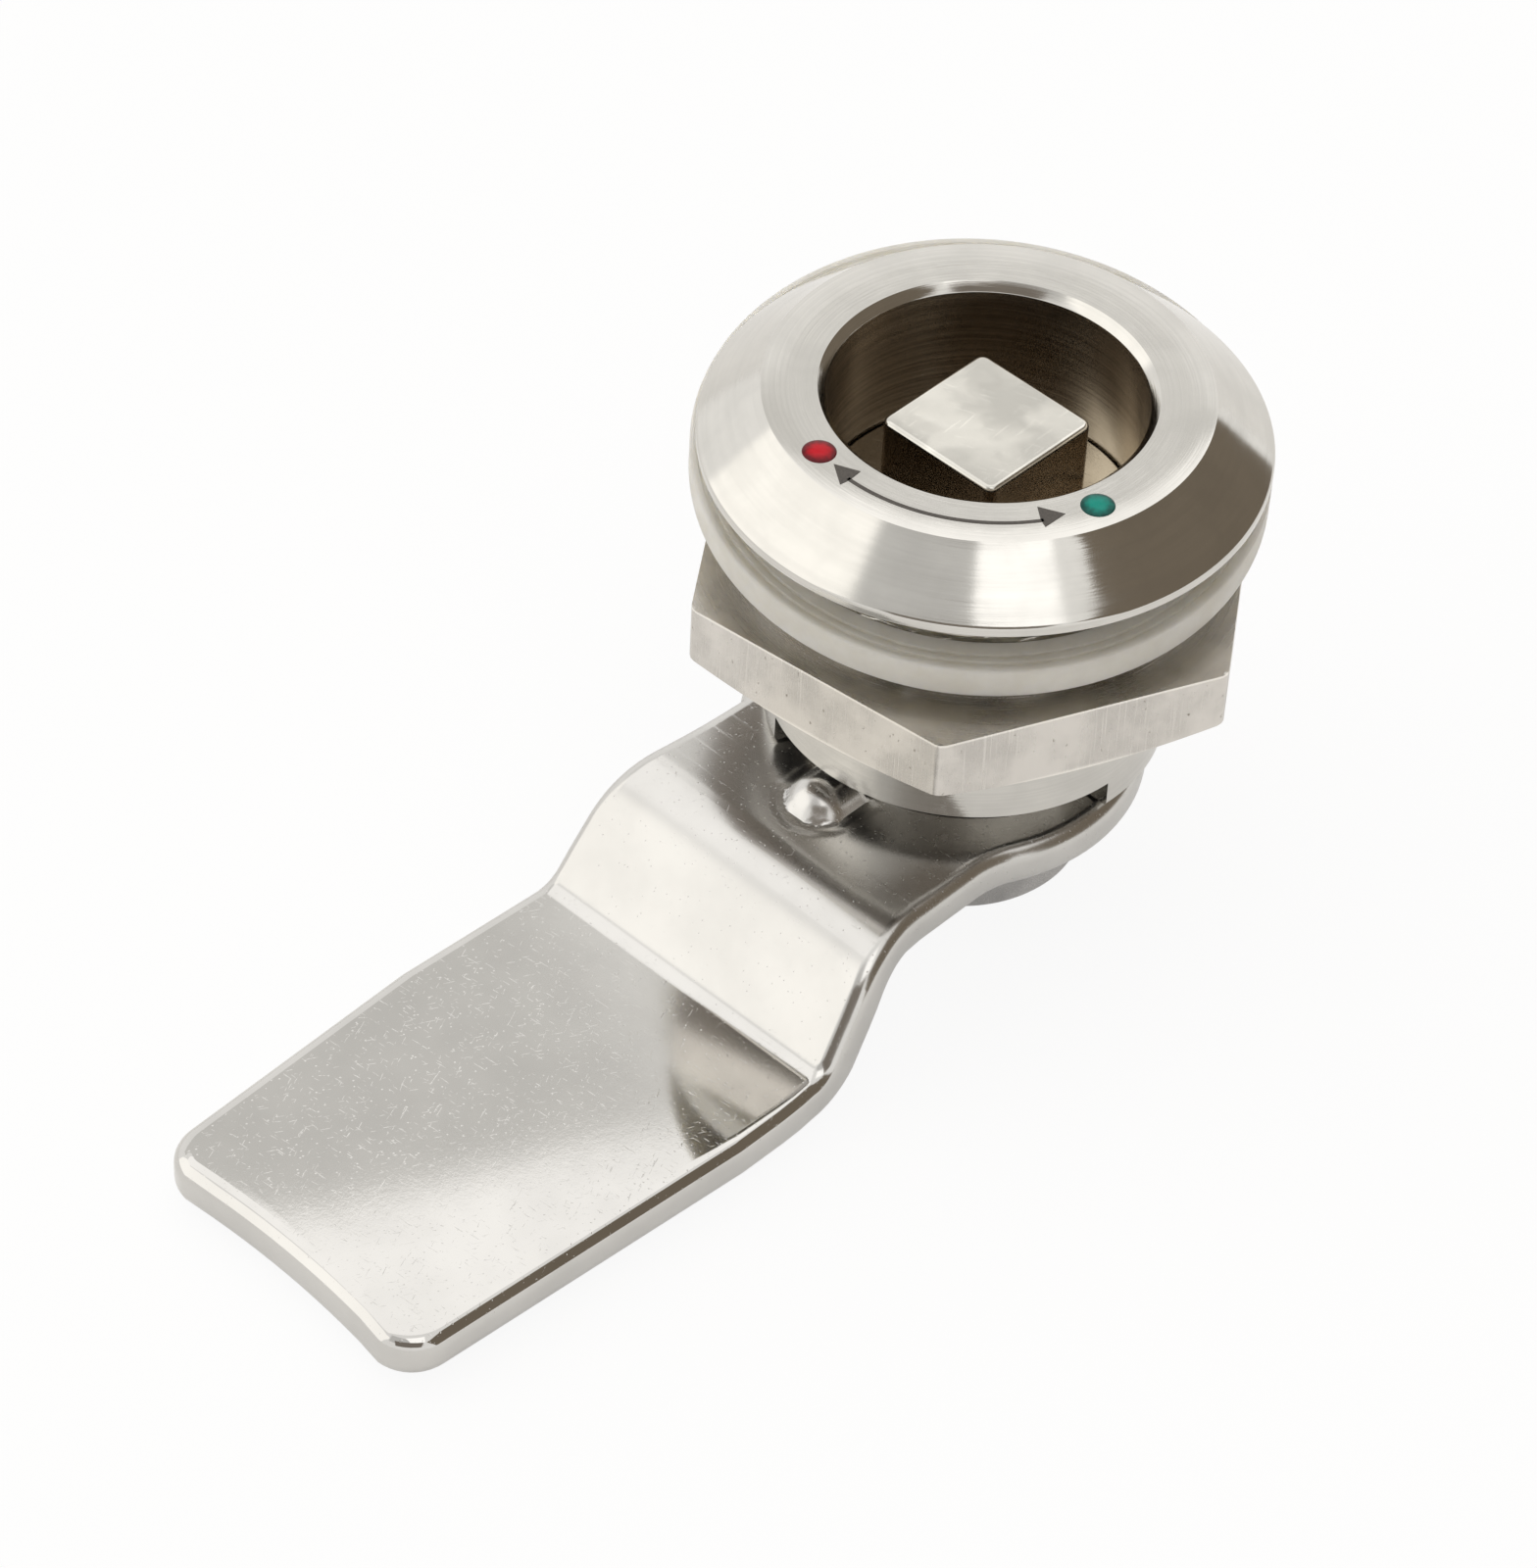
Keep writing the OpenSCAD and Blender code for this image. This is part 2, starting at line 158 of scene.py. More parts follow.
# %% [markdown]
# The shank carries a fine metric thread. A thread could be a helix joined to the shank, but the
# join is hard to keep clean. Here the shank has many rows of points already, and each point is
# moved in or out to the radius that the thread has at its angle and height.

# %% Cut the thread by moving the shank's vertices in and out
THREAD_DEPTH = 0.8
# Half the flat of the root, and one flank, as parts of the pitch.
HALF_ROOT, FLANK = 1 / 8, 5 / 16


def thread_radius(turned, z):
    """Radius of a metric thread at an angle and a height, with its run-outs at both ends."""
    phase = (z / PITCH - turned / (2 * pi)) % 1.0
    crest = min(1.0, max(0.0, (abs(phase - 0.5) - HALF_ROOT) / FLANK))
    root = THREAD_R - THREAD_DEPTH
    lower = root + 0.1 + max(0.0, z + THREAD_L + 0.1)
    upper = root + 0.1 + max(0.0, -0.9 - z) * 1.2
    return min(root + THREAD_DEPTH * crest, lower, upper)


def cut_thread(vertices):
    for v in vertices:
        if THREAD_LOW - 0.01 < v.co.z < THREAD_TOP + 0.01 and v.co.xy.length > THREAD_R - 0.5:
            wanted = thread_radius(atan2(v.co.y, v.co.x), v.co.z)
            v.co.xy *= wanted / v.co.xy.length


# %% Build the housing
shape = bmesh.new()
notch_from, notch_to = CLOSED - NOTCH_EXTRA, OPEN + NOTCH_EXTRA
turn(shape, housing_profile(False), 132, notch_to, 360 - (notch_to - notch_from))
turn(shape, housing_profile(True), 60, notch_from, notch_to - notch_from)
bmesh.ops.remove_doubles(shape, verts=shape.verts, dist=0.001)
open_edges = [e for e in shape.edges if e.is_boundary]
bmesh.ops.edgenet_fill(shape, edges=open_edges)
cut_thread(shape.verts)
print("notch walls closed:", len(open_edges), "edges")
housing = piece("turned_housing", shape, "housing", ["housing"], 24)

# %% [markdown]
# ## Key spindle
# The spindle is a square for the key on a round flange, and below it a shaft that ends in the
# square that drives the cam. A cube becomes the square: its upright edges are rounded and its top
# edges get the narrow bevel that shines in the picture. The flange and shaft are turned, because
# everything round is quickest as a profile and a spin.


# %% Round edges, and a square bar with rounded upright edges and a bevelled top
def round_off(bm, edges, width, segments):
    """Bevels edges. One segment is a flat bevel, and more make it round."""
    bmesh.ops.bevel(bm, geom=edges, offset=width, offset_type="OFFSET", segments=segments, profile=0.5,
                    affect="EDGES", material=-1, clamp_overlap=True)


def swing(bm, turned):
    """Turns everything about the lock's axis, by an angle in degrees."""
    bmesh.ops.rotate(bm, cent=(0, 0, 0), matrix=Matrix.Rotation(radians(turned), 3, "Z"), verts=bm.verts)


def square_bar(bm, width, low, high, corner, edge):
    """Makes a bar in an empty bmesh, turned as the cam is."""
    bmesh.ops.create_cube(bm, size=1.0)
    bmesh.ops.scale(bm, vec=(width, width, high - low), verts=bm.verts)
    bmesh.ops.translate(bm, vec=(0, 0, (high + low) / 2), verts=bm.verts)
    upright = [e for e in bm.edges if abs(e.verts[0].co.z - e.verts[1].co.z) > 0.1]
    round_off(bm, upright, corner, 6)
    top = [e for e in bm.edges if all(abs(v.co.z - high) < 1e-4 for v in e.verts)]
    round_off(bm, top, edge, 3)
    swing(bm, CAM_TURN)


# %% Build the spindle
KEY_W, KEY_TOP, KEY_CORNER, KEY_EDGE = 7.0, 1.3, 0.5, 0.26
DRIVE_L, DRIVE_EDGE = 2.2, 0.05
FLANGE_R, FLANGE_ROUND, FLANGE_RING, SHAFT_R = 7.45, 0.15, 4.0, 6.0
GROOVE_R, GROOVE_TOP, GROOVE_LOW = 4.43, -9.3, -11.1
STEP_R, STEP_L, TAPPED_R, TAPPED_END = 4.6, 0.3, 3.05, -7.5
FLANGE_LOW = SEAT_Z + 0.002

shape = bmesh.new()
square_bar(shape, KEY_W, FLANGE_Z - 0.02, KEY_TOP, KEY_CORNER, KEY_EDGE)
flange = [(0.0, FLANGE_Z), (FLANGE_RING, FLANGE_Z)]
flange += bend(FLANGE_R - FLANGE_ROUND, FLANGE_Z - FLANGE_ROUND, FLANGE_ROUND, 90, 0, 3)
flange += [(FLANGE_R, FLANGE_LOW), (SHAFT_R, FLANGE_LOW)]
groove = [(SHAFT_R, GROOVE_TOP), (GROOVE_R, GROOVE_TOP), (GROOVE_R, GROOVE_LOW), (SHAFT_R, GROOVE_LOW)]
end = [(SHAFT_R, CAM_Z), (STEP_R, CAM_Z), (STEP_R, CAM_Z - STEP_L), (TAPPED_R, CAM_Z - STEP_L)]
tapped_hole = [(TAPPED_R, TAPPED_END), (0.0, TAPPED_END)]
turn(shape, flange + groove + end + tapped_hole, 128, closed=False)
drive = bmesh.new()
square_bar(drive, KEY_W, CAM_Z - DRIVE_L, CAM_Z + 0.1, KEY_CORNER, DRIVE_EDGE)
drive_mesh = bpy.data.meshes.new("drive")
drive.to_mesh(drive_mesh)
drive.free()
shape.from_mesh(drive_mesh)
spindle = piece("key_spindle", shape, "rotor", ["spindle"], 30, weighted=True)

# %% [markdown]
# ## Cam
# The cam is a thick plate, bent twice. It is laid out flat first, as in the press: the outline is
# one face, it is pulled down to its thickness, its edges are rounded by the tumbling that
# polished it, and cuts are added where it will bend. Only then is every vertex carried from the
# flat layout onto the bent path. It could be modelled bent at once, but bending a flat plate
# keeps its thickness even, as in the press.

# %% Outline of the cam, seen from above, with the arm along X
NECK_FILLET, TIP_ROUND, FAR_TIP_BACK = 5.0, 2.3, 2.8
HOLLOW, HOLLOW_MID, HOLLOW_HALF, HOLLOW_LEAN = 0.7, -1.8, 8.6, 0.02
# Half widths of the neck, the blade and the tip, and where the widening starts and ends.
NEAR_NECK, NEAR_BLADE, NEAR_TIP, NEAR_FROM, NEAR_TO = 8.35, 9.94, 8.75, 10.66, 22.3
FAR_NECK, FAR_BLADE, FAR_TIP, FAR_FROM, FAR_TO = 7.8, 8.75, 8.7, 7.4, 19.5
NEAR_MID, FAR_MID = (25.0, 9.94), (28.5, 9.2)


def cam_side(neck, blade, starts, ends, later):
    """One long side, as (distance, half width): a smooth widening from the neck, then straight."""
    side = []
    for i in range(11):
        wider = (1 - cos(pi * i / 10)) / 2
        side.append((starts + (ends - starts) * i / 10, neck + (blade - neck) * wider))
    return side + later


def tip_edge(v):
    """The shallow hollow of the tip, which leans a little to one side."""
    return REACH - HOLLOW * (1 - ((v - HOLLOW_MID) / HOLLOW_HALF) ** 2) - HOLLOW_LEAN * (6 - v) / 6


def cam_outline():
    """Closed outline of the cam: hub, far side, tip, near side and the fillet at the neck."""
    tip_u = REACH - TIP_ROUND
    near = cam_side(NEAR_NECK, NEAR_BLADE, NEAR_FROM, NEAR_TO, [NEAR_MID, (tip_u, NEAR_TIP)])
    far = cam_side(FAR_NECK, FAR_BLADE, FAR_FROM, FAR_TO, [FAR_MID, (tip_u, FAR_TIP)])
    fillet_v = NEAR_NECK + NECK_FILLET
    fillet_u = sqrt((HUB_R + NECK_FILLET) ** 2 - fillet_v ** 2)
    hub_turn = degrees(atan2(fillet_v, fillet_u))
    start = degrees(atan2(FAR_NECK, FAR_FROM - HUB_AHEAD))
    hub = bend(HUB_AHEAD, 0, HUB_R, hub_turn, 360 - start, 84)
    far_side = [(u, -v) for u, v in far[1:-1]]
    far_tip = bend(REACH - FAR_TIP_BACK, -FAR_TIP + TIP_ROUND, TIP_ROUND, -88, -8, 10)
    hollow = [(tip_edge(v), v) for v in range(-5, 6)]
    near_tip = bend(tip_u, NEAR_TIP - TIP_ROUND, TIP_ROUND, 2, 87, 10)
    fillet = bend(HUB_AHEAD + fillet_u, fillet_v, NECK_FILLET, 270, 180 + hub_turn, 7)
    return hub + far_side + far_tip + hollow + near_tip + near[-2:0:-1] + fillet[:-1]


# %% [markdown]
# The path is the plate's upper face seen from the side: level over the hub, an outer bend, a
# straight slope, an inner bend, and level again along the blade. It is known as a formula, so
# any point of the flat plate finds its place on it by its distance along the path.

# %% The bent path of the plate's upper face
drop = CRANK - (BEND_OUT + BEND_IN) * (1 - cos(SLOPE))
straight = drop / sin(SLOPE)
BLADE_U = CRANK_U + (BEND_OUT + BEND_IN) * sin(SLOPE) + straight * cos(SLOPE)
FIRST, SECOND = BEND_OUT * SLOPE, BEND_IN * SLOPE
print("straight part of the slope:", round(straight, 2), "blade starts at", round(BLADE_U, 2))


def on_path(s):
    """Place, height and slope on the bent upper face, at a distance s along it."""
    past = s - CRANK_U
    if past <= 0:
        return s, 0.0, 0.0
    if past < FIRST:
        a = past / BEND_OUT
        return CRANK_U + BEND_OUT * sin(a), BEND_OUT * (cos(a) - 1), a
    past -= FIRST
    u, z = CRANK_U + BEND_OUT * sin(SLOPE), BEND_OUT * (cos(SLOPE) - 1)
    if past < straight:
        return u + past * cos(SLOPE), z - past * sin(SLOPE), SLOPE
    past -= straight
    if past < SECOND:
        a = SLOPE - past / BEND_IN
        return BLADE_U - BEND_IN * sin(a), -CRANK + BEND_IN - BEND_IN * cos(a), a
    return BLADE_U + past - SECOND, -CRANK, 0.0


def path_length(u):
    """Distance along the path at which it reaches u, found by halving."""
    low, high = 0.0, 2 * REACH
    for _ in range(50):
        middle = (low + high) / 2
        if on_path(middle)[0] < u:
            low = middle
        else:
            high = middle
    return low if u > 0 else u


# %% Pull faces to a thickness, and cut along a plane
def pull(bm, faces, rise):
    """Gives flat faces a thickness, upwards or, with a negative rise, downwards."""
    made = bmesh.ops.extrude_face_region(bm, geom=faces, use_keep_orig=True)["geom"]
    moved = [g for g in made if isinstance(g, bmesh.types.BMVert)]
    bmesh.ops.translate(bm, vec=(0, 0, rise), verts=moved)


def cut(bm, parts, point, away, drop_outer=False):
    """Cuts parts of a bmesh along a plane and gives back the edges that the cut made."""
    made = bmesh.ops.bisect_plane(bm, geom=parts, dist=1e-5, plane_co=point, plane_no=away,
                                  clear_outer=drop_outer)["geom_cut"]
    return [g for g in made if isinstance(g, bmesh.types.BMEdge)]


def everything(bm):
    return bm.verts[:] + bm.edges[:] + bm.faces[:]


# %% Lay the cam out flat and round its edges
CAM_ROUND = 0.85

shape = bmesh.new()
rim = [shape.verts.new((path_length(u), v, 0)) for u, v in cam_outline()]
pull(shape, [shape.faces.new(rim)], -CAM_T)
bmesh.ops.recalc_face_normals(shape, faces=shape.faces)
level_edges = [e for e in shape.edges if abs(e.verts[0].co.z - e.verts[1].co.z) < 1e-5]
round_off(shape, level_edges, CAM_ROUND, 6)
print("outline points:", len(rim))

# %% Add the cuts for the bends, the blade, the hub and the lug
blade_s = path_length(BLADE_U)
outer_bend_cuts = [CRANK_U + FIRST * i / 12 for i in range(13)]
slope_cuts = [CRANK_U + FIRST + straight * i / 6 for i in range(1, 6)]
inner_bend_cuts = [blade_s - SECOND * i / 8 for i in range(9)]
blade_cuts = [blade_s + 2.5 * i for i in range(1, 10)]
hub_cuts = list(range(-8, 7, 2))
lug_cuts = [6.6 + 0.2 * i for i in range(33)]
for s in outer_bend_cuts + slope_cuts + inner_bend_cuts + blade_cuts + hub_cuts + lug_cuts:
    cut(shape, everything(shape), (s, 0, 0), (1, 0, 0))
print("faces after the cuts:", len(shape.faces))

# %% [markdown]
# The stop lug is pressed up out of the hub: a lying bar with a domed outer end, which runs in the
# housing's notch. It could be a piece of its own, joined by a boolean, but on the real cam it
# flows out of the plate. So the hub's face gets a fine grid there, and a height is added to it.

# %% Raise the stop lug on the hub's face
# The lug rises from LUG_START within LUG_RAMP and ends LUG_SIDE from its middle line.
LUG_START, LUG_RAMP, LUG_SIDE, LUG_SOFT = 8.2, 0.3, 2.3, 0.10
# The stretch of the hub that gets the grid, the grid's step, and its lines on each side.
LUG_ZONE, LUG_GRID, LUG_LINES = (6.5, 13.1), 0.18, 17


def lug_height(u, v):
    """Height of the lug: a lying bar with a domed outer end, with a small fillet at its foot."""
    r = (LUG_W ** 2 / 4 + LUG_H ** 2) / (2 * LUG_H)
    from_axis = hypot(max(0.0, u - LUG_REACH + r), v)
    if from_axis >= LUG_SIDE:
        return 0.0
    inner = min(1.0, max(0.0, (u - LUG_START) / LUG_RAMP))
    bar = sqrt(max(0.0, r * r - from_axis ** 2)) + LUG_H - r
    return inner * (bar + sqrt(bar * bar + LUG_SOFT)) / 2


def lug_faces(bm):
    """Faces of the plate's upper side, in the stretch where the lug rises."""
    middles = [(f, f.calc_center_median()) for f in bm.faces]
    return [f for f, middle in middles if LUG_ZONE[0] < middle.x < LUG_ZONE[1] and middle.z > -1e-4]


for i in range(-LUG_LINES, LUG_LINES + 1):
    parts = dict.fromkeys(g for f in lug_faces(shape) for g in (f, *f.edges, *f.verts))
    cut(shape, list(parts), (0, i * LUG_GRID, 0), (0, 1, 0))
zone = lug_faces(shape)
for v in {v for f in zone for v in f.verts}:
    v.co.z += lug_height(v.co.x, v.co.y)
print("lug zone faces:", len(zone))

# %% Carry the flat layout onto the bent path
for v in shape.verts:
    u, z, slope = on_path(v.co.x)
    v.co.x, v.co.z = u + v.co.z * sin(slope), z + v.co.z * cos(slope)
swing(shape, CAM_TURN)
bmesh.ops.translate(shape, vec=(0, 0, CAM_Z), verts=shape.verts)
cam = piece("cranked_cam", shape, "rotor", ["cam"], 40, weighted=True)

# %% [markdown]
# ## Nut
# The nut starts on the lathe too: a ring with a cone turned on its lower corners. Six flats are
# then cut off it, which leaves the curved edges that a real nut has where its cone meets a flat.
# A cylinder of six sides would be quicker, but its cone would end in straight lines.


# %% Cut flats on a turned blank
def cut_flats(bm, across, turned, bevel):
    for i in range(6):
        a = radians(turned + 30 + 60 * i)
        away = Vector((cos(a), sin(a), 0))
        edges = cut(bm, everything(bm), away * across / 2, away, drop_outer=True)
        bmesh.ops.edgenet_fill(bm, edges=edges)
    bmesh.ops.recalc_face_normals(bm, faces=bm.faces)
    for upright, width in ((True, bevel * 3), (False, bevel)):
        sharp = [e for e in bm.edges if len(e.link_faces) == 2 and e.calc_face_angle(0) > radians(40)
                 and min(v.co.xy.length for v in e.verts) > across / 2 - 0.1
                 and (abs(e.verts[0].co.z - e.verts[1].co.z) > 1.0) == upright]
        round_off(bm, sharp, width, 2)


# %% Build the nut
NUT_TURN, NUT_EDGE, NUT_BEVEL, NUT_CONE = 21.0, 0.1, 0.5, 0.7

shape = bmesh.new()
corner, bore = NUT_FLATS / 2 / cos(pi / 6) + 0.3, THREAD_R + 0.06
blank = [(bore, NUT_TOP - NUT_BEVEL), (bore + NUT_BEVEL, NUT_TOP), (corner, NUT_TOP),
         (corner, NUT_LOW + NUT_CONE), (NUT_FLATS / 2, NUT_LOW), (bore + NUT_BEVEL, NUT_LOW),
         (bore, NUT_LOW + NUT_BEVEL)]
turn(shape, blank, 180, NUT_TURN)
cut_flats(shape, NUT_FLATS, NUT_TURN, NUT_EDGE)
nut = piece("thin_nut", shape, "nut", ["hex_nut"], 24, weighted=True)

# %% [markdown]
# ## Gasket
# The gasket is a soft silicone ring with two fine grooves in its face. Before the lock is fitted it
# hangs loose: it clings under the head at the back and hangs lower at the front. A simulation
# could let it drop, but a ring this thick hardly bends. So it is spun flat about the axis, as it
# was moulded, then tilted and slipped aside as one stiff ring.

# %% Build the gasket
GASKET_TURN, GASKET_TILT, GASKET_SLIP, GASKET_Z = radians(150), radians(7), 1.5, -2.52
GASKET_IN, GASKET_OUT, HALF = 11.8, 13.6, 0.9
SOFT_EDGE, LOW_EDGE, GROOVE = 0.12, 0.18, 0.14


def face_groove(r):
    """One fine groove in the gasket's face, from its outer lip inwards."""
    return [(r, HALF), (r - 0.04, HALF - GROOVE), (r - 0.22, HALF - GROOVE), (r - 0.26, HALF)]


shape = bmesh.new()
outside = bend(GASKET_OUT - LOW_EDGE, -HALF + LOW_EDGE, LOW_EDGE, -90, 0, 4)
outside += bend(GASKET_OUT - SOFT_EDGE, HALF - SOFT_EDGE, SOFT_EDGE, 0, 90, 3)
inside = bend(GASKET_IN + SOFT_EDGE, HALF - SOFT_EDGE, SOFT_EDGE, 90, 180, 3)
inside += bend(GASKET_IN + SOFT_EDGE, -HALF + SOFT_EDGE, SOFT_EDGE, 180, 270, 3)
turn(shape, outside + face_groove(13.28) + face_groove(12.83) + inside, 192)
tilt = Matrix.Rotation(GASKET_TURN, 3, "Z") @ Matrix.Rotation(-GASKET_TILT, 3, "Y")
bmesh.ops.rotate(shape, cent=(0, 0, 0), matrix=tilt, verts=shape.verts)
slip = Vector((GASKET_SLIP * cos(GASKET_TURN), GASKET_SLIP * sin(GASKET_TURN), GASKET_Z))
bmesh.ops.translate(shape, vec=slip, verts=shape.verts)
gasket = piece("silicone_gasket", shape, "gasket", ["panel_gasket"], 40)

# %% [markdown]
# ## Washer and screw
# Below the cam sit a split spring washer and a screw with a round head. The washer is a short
# helix: its section is spun almost once round while it climbs a little, and its two cut ends are
# closed. The screw is turned, and the vertices of its key socket are then moved onto a hexagon,
# which saves a boolean cut.

# %% Build the spring washer
WASHER_IN, WASHER_OUT, WASHER_EDGE = 3.2, 5.9, 0.06
RISE, THICK, GAP, WASHER_STEPS = 0.22, 1.34, 9.0, 96

shape = bmesh.new()
wide = (WASHER_IN, WASHER_IN + WASHER_EDGE, WASHER_OUT - WASHER_EDGE, WASHER_OUT)
section = [(wide[0], WASHER_EDGE), (wide[1], 0), (wide[2], 0), (wide[3], WASHER_EDGE)]
section += [(wide[3], THICK - WASHER_EDGE), (wide[2], THICK)]
section += [(wide[1], THICK), (wide[0], THICK - WASHER_EDGE)]
points = [shape.verts.new((r, 0, z)) for r, z in section]
edges = [shape.edges.new(pair) for pair in zip(points, points[1:] + points[:1])]
bmesh.ops.spin(shape, geom=points + edges, cent=(0, 0, 0), axis=(0, 0, 1), dvec=(0, 0, RISE / WASHER_STEPS),
               angle=radians(360 - GAP), steps=WASHER_STEPS)
bmesh.ops.edgenet_fill(shape, edges=[e for e in shape.edges if e.is_boundary])
swing(shape, GAP / 2)
bmesh.ops.translate(shape, vec=(0, 0, WASHER_Z + 0.02), verts=shape.verts)
washer = piece("split_washer", shape, "rotor", ["spring_washer"], 35)

# %% Build the cam screw
SCREW_HEAD_R, SCREW_ROUND, SOCKET_FLATS, SOCKET_DEEP = 6.3, 0.6, 5.0, 2.5
SCREW_R, SCREW_L, SCREW_POINT = 3.0, 11.8, 0.6

shape = bmesh.new()
socket = SOCKET_FLATS / 2 / cos(pi / 6)
socket_top, head_top = SCREW_LOW + SOCKET_DEEP, WASHER_Z - 0.02
blank = [(0.0, socket_top), (socket, socket_top), (socket, SCREW_LOW + 0.2), (socket + 0.15, SCREW_LOW)]
blank += bend(SCREW_HEAD_R - SCREW_ROUND, SCREW_LOW + SCREW_ROUND, SCREW_ROUND, -90, 0, 6)
blank += [(SCREW_HEAD_R, WASHER_Z - 0.15), (SCREW_HEAD_R - 0.13, head_top), (SCREW_R, head_top)]
screw_top = WASHER_Z + SCREW_L
blank += [(SCREW_R, screw_top - SCREW_POINT), (SCREW_R - SCREW_POINT, screw_top), (0.0, screw_top)]
turn(shape, blank, 120, closed=False)
for v in shape.verts:
    if abs(v.co.xy.length - socket) < 0.01 and v.co.z < socket_top + 0.01:
        turned = atan2(v.co.y, v.co.x) % (pi / 3)
        v.co.xy *= cos(pi / 6) / cos(turned - pi / 6)
screw = piece("round_screw", shape, "rotor", ["cam_screw"], 24, weighted=True)

# %% [markdown]
# ## Marks and arrow
# The marks on the face are drops of enamel that stand slightly proud of their pockets: red where
# the lock is closed and green where it is open. Between them runs a double arrow, printed dark
# and only a few hundredths of a millimetre thick. A picture on the face could show them too, but
# a drop is round and catches its own light, so both are real shapes.

# %% Build the two enamel marks
MARK_R = 9.15
# The drop's height above the face, from its middle outwards.
DOME = [(0.0, 0.115), (0.25, 0.108), (0.45, 0.088), (0.62, 0.058), (0.74, 0.028), (0.8, 0.006)]
DROP_R, DROP_DEEP = 0.82, -0.25


def enamel_mark(name, turned, stands_for):
    bm = bmesh.new()
    side = [(DROP_R, -0.03), (DROP_R, DROP_DEEP), (0.0, DROP_DEEP)]
    turn(bm, DOME + side, 48, closed=False)
    a = radians(turned)
    bmesh.ops.translate(bm, vec=(MARK_R * cos(a), MARK_R * sin(a), HEAD_H), verts=bm.verts)
    return piece(name, bm, "housing", [stands_for], 50)


red = enamel_mark("red_enamel_mark", CLOSED, "red_mark")
green = enamel_mark("green_enamel_mark", OPEN, "green_mark")

# %% Build the double arrow
PRINT_LOW, PRINT_TOP = HEAD_H - 0.02, HEAD_H + 0.015
LINE_IN, LINE_OUT, LINE_FROM, LINE_TURN = 9.14, 9.34, -76.2, 59.2
TIP_R, NOTCH_IN_R = 9.08, 9.22
# Each head: the angles of its tip, barbs and notch, and the radii of its inner and outer barb.
HEADS = ((-83.4, -75.9, -75.4, 8.47, 9.80), (-10.2, -17.3, -17.8, 8.30, 9.70))

shape = bmesh.new()


def polar(r, turned):
    """A new vertex of the print, at a radius and an angle in degrees."""
    return shape.verts.new((r * cos(radians(turned)), r * sin(radians(turned)), PRINT_LOW))


line = [polar(LINE_IN, LINE_FROM), polar(LINE_OUT, LINE_FROM)]
edge = shape.edges.new(line)
bmesh.ops.spin(shape, geom=line + [edge], cent=(0, 0, 0), axis=(0, 0, 1), dvec=(0, 0, 0),
               angle=radians(LINE_TURN), steps=48)
for tip, base, notch, inner, outer in HEADS:
    shape.faces.new([polar(TIP_R, tip), polar(outer, base), polar(NOTCH_IN_R, notch), polar(inner, base)])
bmesh.ops.recalc_face_normals(shape, faces=shape.faces)
pull(shape, shape.faces[:], PRINT_TOP - PRINT_LOW)
arrow = piece("turn_arrow", shape, "housing", (), 30)

# %% [markdown]
# ## How the finishes are written
# Every finish is a small network of shader nodes. It could be drawn by hand in the shader editor,
# but as text it can be read and compared. This class lets a finish be written as sums: a wire
# stands for one socket, and adding or multiplying wires adds the Math node that does it. The
# shares and limits in the finishes were found by comparing renders with the photograph.


# %% Wires that can be added and multiplied
class Wire:
    def __init__(self, finish, socket):
        self.finish, self.socket = finish, socket

    def math(self, operation, first, second=0.0):
        return self.finish.node("ShaderNodeMath", {"operation": operation}, {0: first, 1: second})

    def __add__(self, other):
        return self.math("ADD", self, other)

    def __radd__(self, other):
        return self.math("ADD", other, self)

    def __sub__(self, other):
        return self.math("SUBTRACT", self, other)

    def __rsub__(self, other):
        return self.math("SUBTRACT", other, self)

    def __mul__(self, other):
        return self.math("MULTIPLY", self, other)

    def __rmul__(self, other):
        return self.math("MULTIPLY", other, self)

    def __truediv__(self, other):
        return self.math("DIVIDE", self, other)

    def __rtruediv__(self, other):
        return self.math("DIVIDE", other, self)

    def __gt__(self, other):
        return self.math("GREATER_THAN", self, other)

    def root(self):
        return self.math("SQRT", self)

    def size(self):
        return self.math("ABSOLUTE", self)

    def between(self, low, high, at_low, at_high):
        values = {"Value": self, "From Min": low, "From Max": high, "To Min": at_low, "To Max": at_high}
        return self.finish.node("ShaderNodeMapRange", {"interpolation_type": "SMOOTHSTEP"}, values)

    def step(self, low, high):
        """0 up to low, 1 from high on, and a soft step between them."""
        return self.between(low, high, 0.0, 1.0)

    def fall(self, low, high):
        """1 up to low, 0 from high on, and a soft step between them."""
        return self.between(low, high, 1.0, 0.0)


